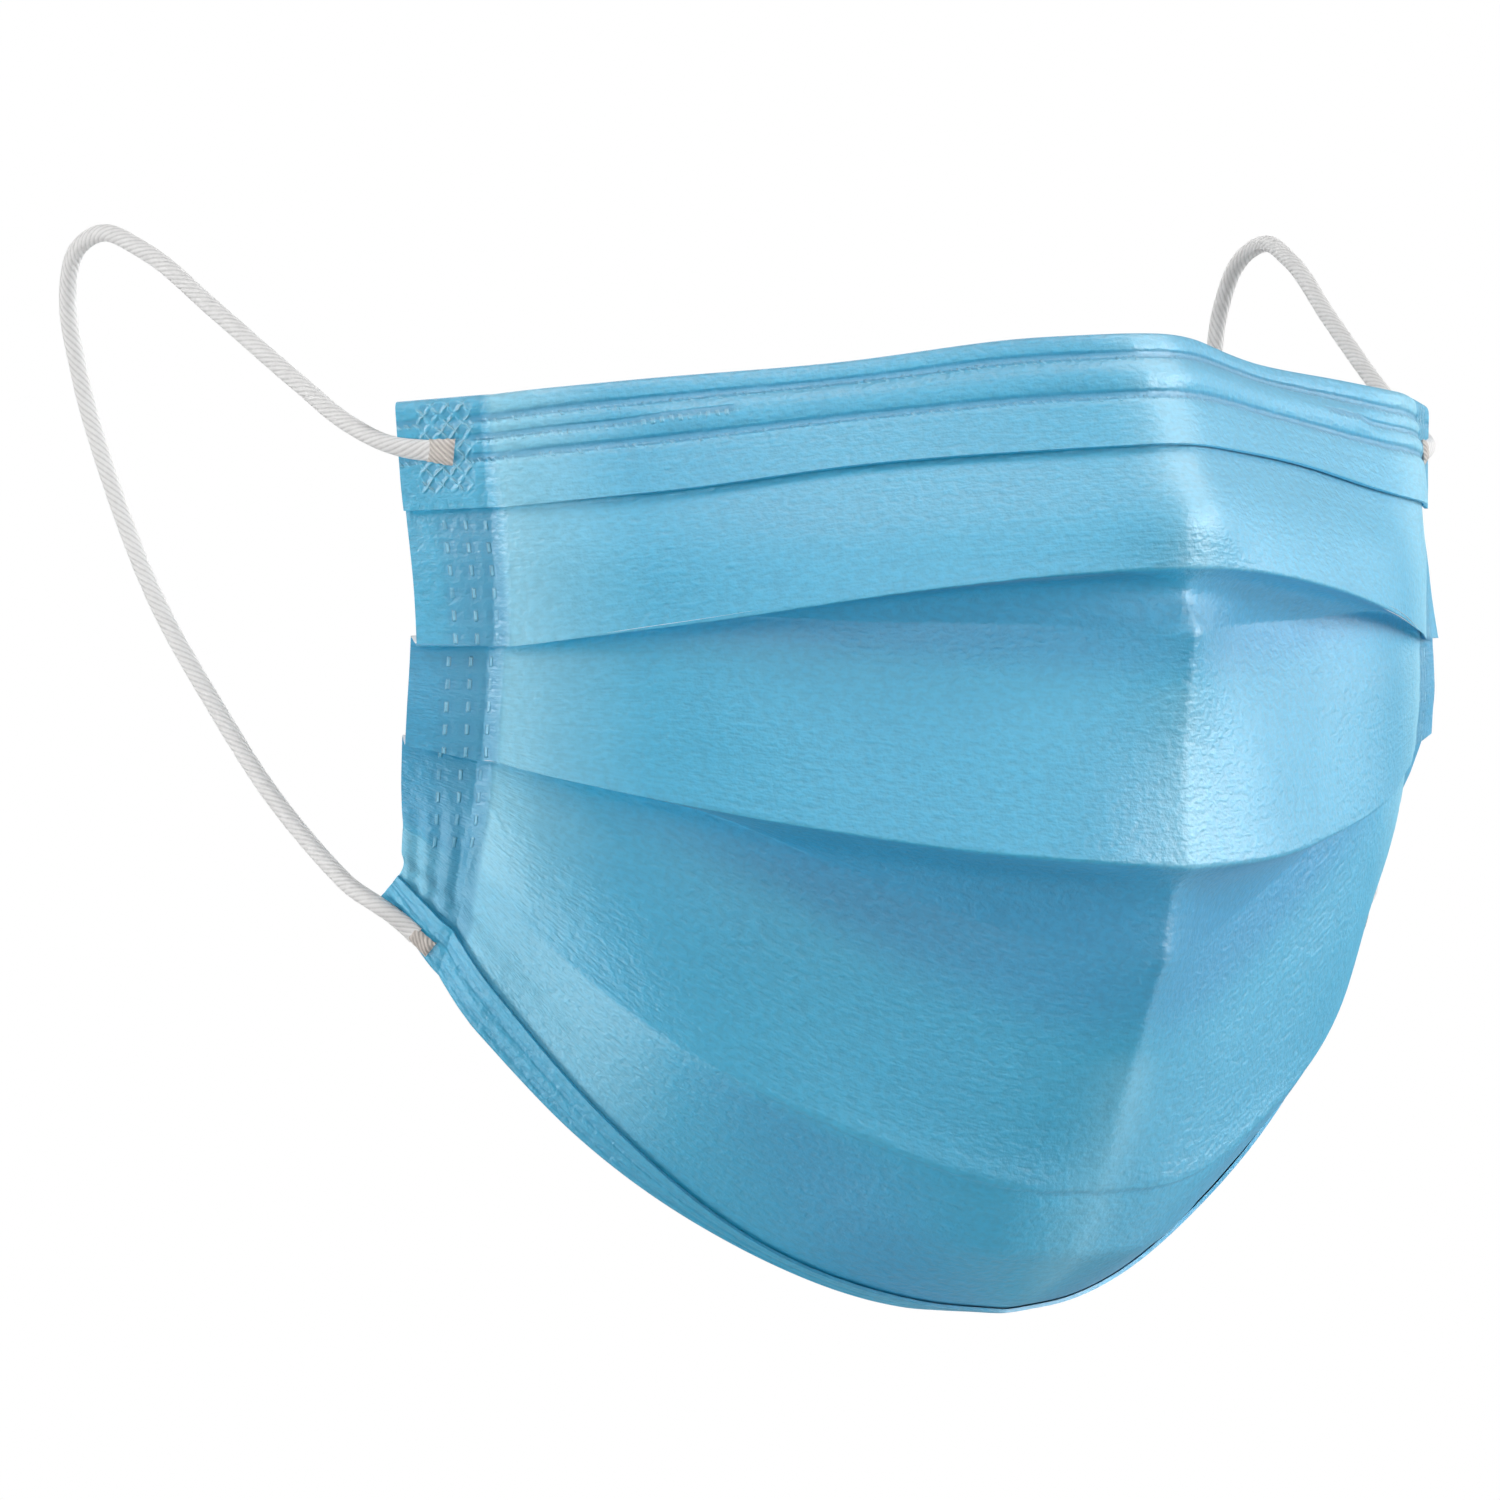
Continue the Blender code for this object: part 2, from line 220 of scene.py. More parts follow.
def softRows(runs, across):
    # the same cloth with its folds rounded off, the turn under the chin most of all
    atChin = np.exp(-((runs - runAt["chin turn"]) / cloth["chinReach"]) ** 2)
    spread = cloth["foldSpread"] + cloth["chinSpread"] * atChin
    total = 0
    for step, weight in zip((-2, -1, 0, 1, 2), (0.08, 0.24, 0.36, 0.24, 0.08)):
        near = np.clip(runs + step * spread, 0, lastRun)
        total = total + weight * clothRows(near, across)
    return total


def clothFrames(runs, across, rowsOf=clothRows):
    # points on the outer face, the way out of it and the way down it
    step = 0.0005
    inner = np.clip(runs, step, lastRun - step)
    down = rowsOf(inner + step, across) - rowsOf(inner - step, across)
    share = step / cloth["halfWidth"]
    side = rowsOf(runs, across + share) - rowsOf(runs, across - share)
    out = np.cross(down, side)
    out /= np.linalg.norm(out, axis=-1, keepdims=True)
    down = down / np.linalg.norm(down, axis=-1, keepdims=True)
    return rowsOf(runs, across), out, down


def arcLengths(points):
    # distance along each row from its middle, and from the nearer side edge
    steps = np.linalg.norm(np.diff(points, axis=1), axis=-1)
    along = np.concatenate([np.zeros((len(points), 1)), np.cumsum(steps, axis=1)], axis=1)
    middle = along[:, along.shape[1] // 2][:, None]
    return along - middle, np.minimum(along, along[:, -1:] - along)


def fineColumns():
    half = np.concatenate([
        np.arange(0.004, 0.034, 0.005),
        np.arange(0.036, 0.78, 0.0125),
        np.arange(0.785, 0.845, 0.01),
        np.arange(0.85, 0.88, 0.005),
        np.arange(0.882, 0.904, 0.002),
        np.linspace(0.906, 1, 14),
    ])
    return np.concatenate([-half[::-1], [0], half])


def fineRuns(start, end, step):
    # even rows, with a few more on either side of each fold
    marks = [np.arange(start, end, step), [end]]
    for name in creases[1:-1]:
        marks.append(runAt[name] + np.array(cloth["foldRows"]) / 1000)
    runs = np.unique(np.round(np.concatenate(marks), 6))
    keep = np.concatenate([[True], np.diff(runs) > 0.0001])
    return runs[keep]


def ease(share):
    share = np.clip(share, 0, 1)
    return share * share * (3 - 2 * share)


def paintedLightTone(points, runs, across):
    # 0 deeper, 1 paler: painted shade under the pleats, beside the chin and on the strip beside the
    #                    weld; painted highlight along the bulge ridge and the nose bridge; painted
    #                    light on the lower cheeks
    x = np.abs(points[..., 0])
    run = runs[:, None]
    paintedShade = np.zeros_like(x)
    for fold, valley, reach, narrowing, amount, fadeStart in paintedShadeFolds:
        reach = reach - narrowing * np.clip(x / 0.04, 0, 1)
        below = 1 - ease((run - runAt[valley] - 0.3 * reach) / (0.7 * reach))
        below = np.where(run < runAt[valley], 1, 0.9 * below)
        under = ease((run - runAt[fold]) / 0.0008) * below
        paintedShade = np.maximum(paintedShade, amount * under * (1 - np.clip((x - fadeStart) / 0.025, 0, 0.8)))
    # painted shade beside the chin
    downChin = np.clip((run - runAt["fold three"]) / (runAt["hem edge"] - runAt["fold three"]), 0, 1)
    chinShade = np.exp(-((x - 0.037 + 0.024 * downChin) / 0.014) ** 2) * ease(downChin / 0.1)
    paintedShade = np.maximum(paintedShade, chinShade * (0.6 + 0.4 * downChin))
    # painted highlight along the bulge ridge, fading out towards the hem
    toCrest = (cloth["crestShare"] - np.abs(across)[None, :]) * cloth["halfWidth"]
    crest = np.where(toCrest > 0, np.clip(1 - toCrest / 0.013, 0, 1) ** 1.3,
                     np.clip(1 + toCrest / 0.0008, 0, 1))
    crest = crest * np.clip((lastRun - run - 0.018) / 0.012, 0, 1)
    # painted highlight along the bridge of the nose, and painted light on the lower cheeks below the
    # third fold
    bridge = 0.4 * np.exp(-(x / 0.0045) ** 2)
    cheekLight = 0.55 * ease((x - 0.042) / 0.014) * ease((run - runAt["fold three"]) / 0.001)
    # painted shade on the strip beside the weld, from the first fold to the third
    sideShade = (0.6 * ease((np.abs(across)[None, :] - 0.9) / 0.015)
               * ease((run - runAt["fold one"]) / 0.0008)
               * (1 - ease((run - runAt["fold three"] + 0.004) / 0.004)))
    paintedShade = np.maximum(paintedShade, sideShade)
    pale = np.maximum(np.maximum(crest, bridge), cheekLight) * (1 - 0.6 * paintedShade)
    return np.clip(0.5 + 0.5 * pale - 0.5 * paintedShade, 0, 1)


def sheetPiece(name, points, runs, wall, finishes, tone, thinning=None, edges=None):
    # rows of points, top first, as one sheet with its wall on the inner side
    rowCount, columnCount = points.shape[:2]
    across, inset = arcLengths(points)
    mesh = bmesh.new()
    bmesh.ops.create_grid(mesh, x_segments=columnCount - 1, y_segments=rowCount - 1, size=1)
    mesh.verts.ensure_lookup_table()
    insetLayer = mesh.verts.layers.float.new("edgeInset")
    toneLayer = mesh.verts.layers.float.new("paintedLightTone")
    flipped = points[::-1].reshape(-1, 3)
    insets = inset[::-1].reshape(-1)
    tones = tone[::-1].reshape(-1)
    for index, vertex in enumerate(mesh.verts):
        vertex.co = flipped[index]
        vertex[insetLayer] = insets[index]
        vertex[toneLayer] = tones[index]
    places = np.stack([across[::-1], np.repeat(runs[::-1, None], columnCount, axis=1)], axis=-1)
    places = places.reshape(-1, 2)
    uvLayer = mesh.loops.layers.uv.new("clothMap")
    for face in mesh.faces:
        for loop in face.loops:
            loop[uvLayer].uv = places[loop.vert.index]
    data = bpy.data.meshes.new(name)
    mesh.to_mesh(data)
    mesh.free()
    data.shade_smooth()
    for finish in finishes:
        data.materials.append(finish)
    made = bpy.data.objects.new(name, data)
    bpy.context.scene.collection.objects.link(made)
    shell = made.modifiers.new("wall", "SOLIDIFY")
    shell.thickness = wall
    shell.offset = -1
    shell.use_quality_normals = True
    shell.material_offset = len(finishes) - 1
    if thinning is not None:
        share = made.vertex_groups.new(name="wallShare")
        for index, weight in enumerate(thinning[::-1].reshape(-1)):
            share.add([index], float(weight), "REPLACE")
        shell.vertex_group = "wallShare"
    bpy.context.view_layer.update()
    depsgraph = bpy.context.evaluated_depsgraph_get()
    solid = bpy.data.meshes.new_from_object(made.evaluated_get(depsgraph))
    made.modifiers.clear()
    made.data = solid
    if edges is not None:
        # the lining never shows past a pressed fold
        shares = edges[::-1].reshape(-1)
        for face in solid.polygons:
            if max(shares[index % len(shares)] for index in face.vertices) > 0.5:
                face.material_index = 0
    solid.set_sharp_from_angle(angle=math.radians(60))
    return made


# shader maths: a socket with Python's operators
class Flow:
    def __init__(self, tree, socket=None):
        self.tree = tree
        self.socket = socket

    def node(self, kind, settings=None, inputs=None, output=0):
        made = self.tree.nodes.new("ShaderNode" + kind)
        for name, value in (settings or {}).items():
            if name == "stops":
                ramp = made.color_ramp.elements
                for element, (place, colour) in zip(ramp, value):
                    element.position = place
                    element.color = colour
            else:
                setattr(made, name, value)
        for name, value in (inputs or {}).items():
            if isinstance(value, Flow):
                self.tree.links.new(value.socket, made.inputs[name])
            else:
                made.inputs[name].default_value = value
        return Flow(self.tree, made.outputs[output])

    def math(self, operation, *values):
        return self.node("Math", {"operation": operation}, dict(enumerate(values)))

    def __add__(self, other):
        return self.math("ADD", self, other)

    def __sub__(self, other):
        return self.math("SUBTRACT", self, other)

    def __rsub__(self, other):
        return self.math("SUBTRACT", other, self)

    def __mul__(self, other):
        return self.math("MULTIPLY", self, other)

    def __truediv__(self, other):
        return self.math("DIVIDE", self, other)

    __radd__ = __add__
    __rmul__ = __mul__

    def step(self, low, high):
        # 0 at low, 1 at high, smooth between
        return self.node("MapRange", {"interpolation_type": "SMOOTHSTEP"},
                         {"Value": self, "From Min": low, "From Max": high})

    def near(self, place, reach):
        # 1 at place, 0 beyond reach
        return 1 - self.math("ABSOLUTE", self - place).step(reach * 0.4, reach)

    def wave(self, period, phase=0.0):
        # triangle wave from 0 to 1
        turn = self.math("FRACT", self / period + phase)
        return self.math("ABSOLUTE", turn - 0.5) * 2

    def noise(self, scale, detail=2.0, roughness=0.5):
        return self.node("TexNoise", {"noise_dimensions": "3D"},
                         {"Vector": self, "Scale": scale, "Detail": detail, "Roughness": roughness})

    def stretch(self, amounts):
        return self.node("VectorMath", {"operation": "MULTIPLY"}, {0: self, 1: amounts})

    def tint(self, first, second):
        # from one colour to the other as this goes from 0 to 1
        return self.node("Mix", {"data_type": "RGBA"}, {0: self, 6: first, 7: second}, output=2)


def startFinish(name):
    finish = bpy.data.materials.new(name)
    finish.use_nodes = True
    return finish, Flow(finish.node_tree), finish.node_tree.nodes["Principled BSDF"]


def joinFinish(flow, shader, inputs, height=None, relief=0.001, strength=1.0):
    for name, value in inputs.items():
        if isinstance(value, Flow):
            flow.tree.links.new(value.socket, shader.inputs[name])
        else:
            shader.inputs[name].default_value = value
    if height is not None:
        bump = flow.node("Bump", {}, {"Strength": strength, "Distance": relief, "Height": height})
        flow.tree.links.new(bump.socket, shader.inputs["Normal"])


nonwoven = {
    "blue": (0.018, 0.375, 0.600, 1),
    "deepBlue": (0.012, 0.325, 0.540, 1),
    # the next two are the painted shade colour and the painted highlight colour
    "shadeBlue": (0.004, 0.270, 0.500, 1),
    "highlightBlue": (0.180, 0.540, 0.720, 1),
    "stripBlue": (0.014, 0.270, 0.460, 1),
    "pressedBlue": (0.005, 0.210, 0.400, 1),
    "weldBlue": (0.20, 0.58, 0.77, 1),
    "innerWhite": (0.80, 0.83, 0.85, 1),
    "roughness": 0.54,
    "grainRelief": 0.00022,
    "strip": (0.0022, 0.0070, 0.0114, 0.0126),
    "weldRows": (0.0049, 0.00765, 0.01025),
    "weldPitch": 0.0028,
    "weldTop": -0.016,
    "weldBottom": -0.0575,
    "bandLines": (0.0034, 0.0088),
    "middleLine": 0.0060,
    "wireEnd": 0.052,
    "fleckPitch": 0.00115,
    "patch": (0.0024, 0.0100),
    "lattice": (0.0020, 0.0025),
    "hemLines": (0.0020, 0.0040),
}


def clothFinish(name, welds):
    finish, flow, shader = startFinish(name)
    place = flow.node("TexCoord", {}, {}, output=3)
    mapped = flow.node("UVMap", {"uv_map": "clothMap"})
    across = flow.node("SeparateXYZ", {}, {0: mapped}, output=0)
    down = flow.node("SeparateXYZ", {}, {0: mapped}, output=1)
    inset = flow.node("Attribute", {"attribute_name": "edgeInset"}, {}, output=2)
    grain = place.noise(1250, 2.0, 0.6)
    coarse = place.noise(520, 2.0, 0.6)
    fibres = mapped.stretch((140, 1500, 1)).noise(1, 2.0, 0.55)
    streaks = mapped.stretch((700, 1700, 1)).noise(1, 1.0, 0.5)
    patches = place.noise(38, 1.5)
    uneven = place.noise(700, 1.0)
    height = grain * 0.6 + coarse * 0.45 + streaks * 0.45 + fibres * 0.25
    tone = patches * 0.45 + fibres * 0.3 + coarse * 0.4
    colour = tone.step(0.3, 0.85).tint(nonwoven["deepBlue"], nonwoven["blue"])
    # painted light and shade from the paintedLightTone attribute: towards the painted highlight
    # colour above 0.5, towards the painted shade colour below
    lightAndShade = flow.node("Attribute", {"attribute_name": "paintedLightTone"}, {}, output=2)
    colour = ((lightAndShade - 0.5) * 2).tint(colour, nonwoven["highlightBlue"])
    colour = ((0.5 - lightAndShade) * 2).tint(colour, nonwoven["shadeBlue"])
    speck = (grain * 0.5 + streaks * 0.5).step(0.34, 0.66)
    colour = flow.node("VectorMath", {"operation": "SCALE"},
                       {0: colour, "Scale": speck * 0.17 + 0.91})
    pressed = None
    if welds == "side":
        level = flow.node("SeparateXYZ", {}, {0: place}, output=2)
        rows = level.wave(nonwoven["weldPitch"])
        ribs = None
        beds = None
        for mark in nonwoven["weldRows"]:
            rib = inset.near(mark, 0.0003)
            bed = inset.near(mark, 0.0013)
            ribs = rib if ribs is None else ribs + rib
            beds = bed if beds is None else beds + bed
        reach = level.step(nonwoven["weldBottom"], nonwoven["weldBottom"] + 0.001) \
            * (1 - level.step(nonwoven["weldTop"] - 0.001, nonwoven["weldTop"]))
        faint = place.noise(260, 1.0).step(0.25, 0.6)
        raised = rows.step(0.46, 0.7) * ribs * reach * (faint * 0.6 + 0.25)
        pressed = rows.step(0.0, 0.8) * beds * reach * 0.4
        # the strip beside the weld is painted deeper: painted shade where it turns away from the
        # light, and the pressed cloth's own deeper blue
        first, second, third, last = nonwoven["strip"]
        strip = inset.step(first, second) * (1 - inset.step(third, last))
        colour = (strip * 0.8).tint(colour, nonwoven["stripBlue"])
    if welds == "band":
        run = down.math("ABSOLUTE", down)
        ticks = across.wave(nonwoven["fleckPitch"]).step(0.4, 0.8)
        beds = None
        for mark in nonwoven["bandLines"]:
            bed = run.near(mark, 0.0007)
            flecks = run.near(mark + 0.0005, 0.0005)
            beds = bed if beds is None else beds + bed
            ribs = flecks if mark == nonwoven["bandLines"][0] else ribs + flecks
        wireEnd = nonwoven["wireEnd"]
        outside = across.math("ABSOLUTE", across).step(wireEnd, wireEnd + 0.002)
        beds = beds + run.near(nonwoven["middleLine"], 0.0006) * outside
        ribs = ribs + run.near(nonwoven["middleLine"] + 0.0005, 0.0005) * outside
        wide, tall = nonwoven["lattice"]
        lean = coarse * 0.5 + inset / wide
        lattice = flow.math("MAXIMUM", (lean + run / tall).wave(1), (lean - run / tall).wave(1))
        zone = inset.step(nonwoven["patch"][0], nonwoven["patch"][0] + 0.0008) \
            * (1 - inset.step(nonwoven["patch"][1] - 0.0012, nonwoven["patch"][1])) \
            * run.step(0.0006, 0.0014) * (1 - run.step(0.0128, 0.0138))
        raised = ribs * ticks * uneven.step(0.3, 0.65) * (1 - zone) * 0.6 \
            + lattice.step(0.7, 1.0) * uneven.step(0.34, 0.62) * zone
        pressed = beds * (1 - zone) * 0.8 + (1 - lattice).step(0.15, 0.6) * zone * 0.6
    if welds == "hem":
        ticks = across.wave(0.0017).step(0.3, 0.6)
        fromEdge = flow.math("ABSOLUTE", lastRun - down)
        for mark in nonwoven["hemLines"]:
            bed = fromEdge.near(mark, 0.0005)
            pressed = bed if pressed is None else pressed + bed
        raised = pressed * ticks * uneven.step(0.35, 0.65) * 0.12
        pressed = pressed * 0.3
    height = height - pressed * 0.8 + raised * 1.2
    colour = (pressed * 0.7).tint(colour, nonwoven["pressedBlue"])
    colour = (raised * 0.75).tint(colour, nonwoven["weldBlue"])
    joinFinish(flow, shader, {
        "Base Color": colour,
        "Roughness": grain * 0.16 + nonwoven["roughness"] - 0.08,
        "Sheen Weight": 0.06,
        "Sheen Roughness": 0.4,
        "IOR": 1.6,
        "Specular IOR Level": 1.0,
    }, height, nonwoven["grainRelief"], 1.0)
    return finish


def innerFinish(name):
    finish, flow, shader = startFinish(name)
    place = flow.node("TexCoord", {}, {}, output=3)
    grain = place.noise(1150, 2.0, 0.6)
    patches = place.noise(60, 2.0)
    colour = patches.step(0.3, 0.75).tint((0.70, 0.74, 0.77, 1), nonwoven["innerWhite"])
    joinFinish(flow, shader, {
        "Base Color": colour,
        "Roughness": grain * 0.1 + 0.62,
        "Sheen Weight": 0.1,
    }, grain, 0.00012, 1.0)
    return finish


panelBlue = clothFinish("blueNonwoven", "side")
bandBlue = clothFinish("blueBinding", "band")
hemBlue = clothFinish("blueHem", "hem")
innerWhite = innerFinish("innerNonwoven")


# the pleated panel
panel = {
    "topInset": 0.0095,
    "hemShare": 0.45,
    "rowStep": 0.00085,
    "tipHeight": 0.0003,
    "tipWidth": 0.0022,
    "tipRun": 0.0016,
    "waveHeight": 0.00022,
    "waveFade": 0.006,
    "rippleHeight": 0.00022,
    "ripplePeriod": 0.0031,
    "pressedGroove": 0.0004,
    "pressedRim": 0.00018,
    "pressedEdge": 0.0012,
}


def clothWaves(points, runs):
    # shallow waves that a worn pleat keeps, none at the bound edges
    x = points[..., 0]
    run = np.repeat(runs[:, None], points.shape[1], axis=1)
    waves = np.array([
        noise.noise(Vector((a * 26, b * 75, 4.2)))
        + 0.5 * noise.noise(Vector((a * 70, b * 150, 9.1)))
        for a, b in zip(x.ravel(), run.ravel())
    ]).reshape(x.shape)
    fade = (np.clip((run - runAt["band edge"]) / panel["waveFade"], 0, 1)
            * np.clip((runAt["hem edge"] - run) / panel["waveFade"], 0, 1))
    return waves * fade * panel["waveHeight"]


def panelPiece():
    across = fineColumns()
    runs = fineRuns(panel["topInset"], lastRun - hemWidth * panel["hemShare"], panel["rowStep"])
    points, out, down = clothFrames(runs, across, softRows)
    lift = clothWaves(points, runs)
    middle = np.exp(-(points[..., 0] / panel["tipWidth"]) ** 2)
    for name in ("valley one", "valley two"):
        tip = np.exp(-((runs[:, None] - runAt[name]) / panel["tipRun"]) ** 2)
        lift = lift + panel["tipHeight"] * middle * tip
    # the third pleat lies open: only its pressed edge shows
    below = runs[:, None] - runAt["fold three"]
    fade = np.clip((0.046 - np.abs(points[..., 0])) / 0.02, 0, 1)
    lift = lift + fade * (panel["pressedRim"] * np.exp(-((below + 0.0006) / 0.0014) ** 2)
                          - panel["pressedGroove"] * np.exp(-((below - 0.0007) / 0.0006) ** 2))
    inset = arcLengths(points)[1]
    strip = np.clip((0.0115 - inset) / 0.003, 0, 1)
    low = (np.clip((points[..., 2] + 0.066) / 0.004, 0, 1)
           * np.clip((-0.050 - points[..., 2]) / 0.006, 0, 1))
    ripple = np.sin(inset * math.tau / panel["ripplePeriod"])
    lift = lift + panel["rippleHeight"] * strip * low * ripple
    points = points + out * lift[..., None]
    # the wall thins where a pleat is pressed flat on itself beside the weld
    pressed = np.clip((np.abs(across) - 0.62) / 0.22, 0, 1)[None, :]
    tight = np.zeros((len(runs), 1))
    for first, last in (("fold one", "valley one"), ("fold two", "valley two")):
        beyond = np.maximum(runAt[first] - runs, runs - runAt[last]).clip(0)
        tight = np.maximum(tight, np.clip(1 - beyond / 0.004, 0, 1)[:, None])
    thinning = 1 - 0.85 * pressed * tight
    edges = np.zeros((len(runs), 1))
    for fold in ("fold one", "fold two"):
        edges = np.maximum(edges, np.abs(runs - runAt[fold])[:, None] < panel["pressedEdge"])
    edges = edges * (np.abs(across) > cloth["ridgeShare"])[None, :]
    made = sheetPiece("pleatedPanel", points, runs, cloth["wall"], (panelBlue, innerWhite),
                      paintedLightTone(points, runs, across), thinning, edges)
    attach(made, "root")
    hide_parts("mask_panel")
    return made


# the bound edges, each a strip folded over
binding = {
    "wall": 0.00045,
    "lift": 0.00095,
    "drop": 0.0014,
    "edgeLift": 0.0008,
    "grooveDepth": 0.00045,
    "grooveReach": 0.0010,
    "wireLift": 0.0006,
    "wireReach": 0.0026,
    "innerLeg": 0.012,
    "rowStep": 0.00045,
    "hemLift": 0.00065,
    "hemGroove": 0.0002,
    "hemInnerShare": 0.85,
}


def bindingRows(outer, lifts, turnSign, innerRuns, lift, drop, across):
    # the outer leg, a half turn at the edge and the inner leg
    points, out, down = clothFrames(outer, across)
    rows = list(points + out * lifts[..., None])
    marks = list(outer)
    radius = (lift + drop) / 2
    centre = points[-1] + out[-1] * (lift - radius)
    for angle in range(15, 180, 15):
        lean = math.radians(angle)
        rows.append(centre + radius * (out[-1] * math.cos(lean)
                                       - turnSign * down[-1] * math.sin(lean)))
        marks.append(outer[-1] - turnSign * radius * lean)
    points, out, down = clothFrames(innerRuns, across, innerRows)
    rows.extend(points - out * drop)
    marks.extend(marks[-1] - turnSign * np.abs(innerRuns - innerRuns[0]) - turnSign * 0.0005)
    return np.array(rows), np.array(marks)


def topBindingPiece():
    across = fineColumns()
    turn = (binding["lift"] + binding["drop"]) / 2
    outer = np.arange(runAt["band edge"], turn, -binding["rowStep"])
    points = clothRows(outer, across)
    x = np.abs(points[..., 0])
    run = outer[:, None]
    groove = sum(ridgeBump((run - mark) / binding["grooveReach"]) for mark in nonwoven["bandLines"])
    ends = np.clip((x - nonwoven["wireEnd"]) / 0.004, 0, 1)
    middle = ridgeBump((run - nonwoven["middleLine"]) / binding["grooveReach"])
    groove = groove + ends * 0.8 * middle
    groove = groove * ease((1 - np.abs(across)) / 0.1)[None, :]
    wire = (1 - ends) * ridgeBump((run - 0.0061) / binding["wireReach"])
    edge = np.clip((run - 0.0125) / (runAt["band edge"] - 0.0125), 0, 1)
    lifts = (binding["lift"] + edge * (binding["edgeLift"] - binding["lift"])
             - groove * binding["grooveDepth"] + wire * binding["wireLift"])
    inner = np.linspace(turn, binding["innerLeg"], 12)
    rows, marks = bindingRows(outer, lifts, 1, inner, binding["lift"], binding["drop"], across)
    made = sheetPiece("topBinding", rows[::-1], marks[::-1], binding["wall"], (bandBlue,),
                      paintedLightTone(rows[::-1], marks[::-1], across))
    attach(made, "root")
    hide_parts("top_band")
    return made


def hemPiece():
    across = fineColumns()
    turn = (binding["hemLift"] + binding["drop"]) / 2
    outer = np.arange(runAt["hem edge"], lastRun - turn, binding["rowStep"])
    groove = sum(ridgeBump((lastRun - outer - mark) / 0.0006) for mark in nonwoven["hemLines"])
    lifts = (binding["hemLift"] - groove * binding["hemGroove"])[:, None]
    lifts = np.repeat(lifts, len(across), axis=1)
    inner = np.linspace(lastRun - turn, lastRun - hemWidth * binding["hemInnerShare"], 9)
    rows, marks = bindingRows(outer, lifts, -1, inner, binding["hemLift"], binding["drop"], across)
    made = sheetPiece("hemBinding", rows, marks, binding["wall"], (hemBlue,),
                      np.full(rows.shape[:2], 0.5))
    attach(made, "root")
    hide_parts("bottom_band")
    return made


# the elastic ear loops
loop = {
    "diameter": 0.0022,
    "points": 78,
    "sides": 20,
    "clearance": 0.0004,
    "bandWall": 0.001,
    "straight": 1.0,
    "tabLength": 0.0028,
    "tabWidth": 0.0032,
    "tabThickness": 0.0007,
    "tabShare": {"top": 1.0, "bottom": 0.76},
    "sink": 0.0021,
    "sinkReach": 0.012,
    "flatReach": 0.006,
    "overlap": 0.0009,
    "white": (0.78, 0.775, 0.77, 1),
    "gap": (0.58, 0.575, 0.57, 1),
    "strands": 9,
    "lay": 0.0095,
    "pressedLight": (0.66, 0.61, 0.57, 1),
    "pressedDark": (0.45, 0.41, 0.38, 1),
}

loopEnds = {
    # metres along the cloth from the bound edge, share of the half width, slope
    "top": (0.0077, 0.95, -0.2),
    "bottom": (0.0022, 0.925, -0.25),
}

loopRoute = (
    # half width, depth behind the foremost fold, height above the chin
    (0.0802, 0.0680, 0.1115),
    (0.0820, 0.0780, 0.1170),
    (0.0848, 0.0925, 0.1257),
    (0.0876, 0.1055, 0.1334),
    (0.0890, 0.1135, 0.1357),
    (0.0892, 0.1200, 0.1330),
    (0.0885, 0.1228, 0.1270),
    (0.0872, 0.1225, 0.1190),
    (0.0855, 0.1170, 0.1040),
    (0.0835, 0.1093, 0.0895),
    (0.0810, 0.0990, 0.0762),
    (0.0787, 0.0888, 0.0650),
    (0.0767, 0.0795, 0.0572),
)


def elasticFinish():
    finish, flow, shader = startFinish("knitElastic")
    mapped = flow.node("UVMap", {"uv_map": "cordMap"})
    around = flow.node("SeparateXYZ", {}, {0: mapped}, output=0)
    along = flow.node("SeparateXYZ", {}, {0: mapped}, output=1)
    strands = (around * loop["strands"] + along / (loop["lay"] / loop["strands"])).wave(1)
    fuzz = flow.node("TexCoord", {}, {}, output=3).noise(2600, 2.0)
    height = strands * 0.7 + fuzz * 0.4
    colour = height.step(0.1, 0.7).tint(loop["gap"], loop["white"])
    joinFinish(flow, shader, {
        "Base Color": colour,
        "Roughness": fuzz * 0.1 + 0.7,
        "Sheen Weight": 0.25,
    }, height, 0.00010, 1.0)
    return finish


def pressedFinish():
    finish, flow, shader = startFinish("pressedElastic")
    mapped = flow.node("UVMap", {"uv_map": "cordMap"})
    around = flow.node("SeparateXYZ", {}, {0: mapped}, output=0)
    along = flow.node("SeparateXYZ", {}, {0: mapped}, output=1)
    stripes = (around + along * 0.8).wave(0.00062)
    fuzz = flow.node("TexCoord", {}, {}, output=3).noise(1900, 2.0)
    height = stripes * 0.7 + fuzz * 0.3
    colour = height.step(0.2, 0.8).tint(loop["pressedDark"], loop["pressedLight"])
    joinFinish(flow, shader, {
        "Base Color": colour,
        "Roughness": fuzz * 0.15 + 0.5,
    }, height, 0.00016, 1.0)
    return finish


knitElastic = elasticFinish()
pressedElastic = pressedFinish()


def tabFrame(side, place):
    inset, share, slope = loopEnds[place]
    run = inset if place == "top" else lastRun - inset
    frames = clothFrames(np.array([run]), np.array([side * share]))
    point, out, down = (values[0, 0] for values in frames)
    outward = np.cross(out, down)
    if outward[0] * side < 0:
        outward = -outward
    along = outward + slope * down
    along = along / np.linalg.norm(along)
    return point + out * (loop["clearance"] + loop["bandWall"]), out, along


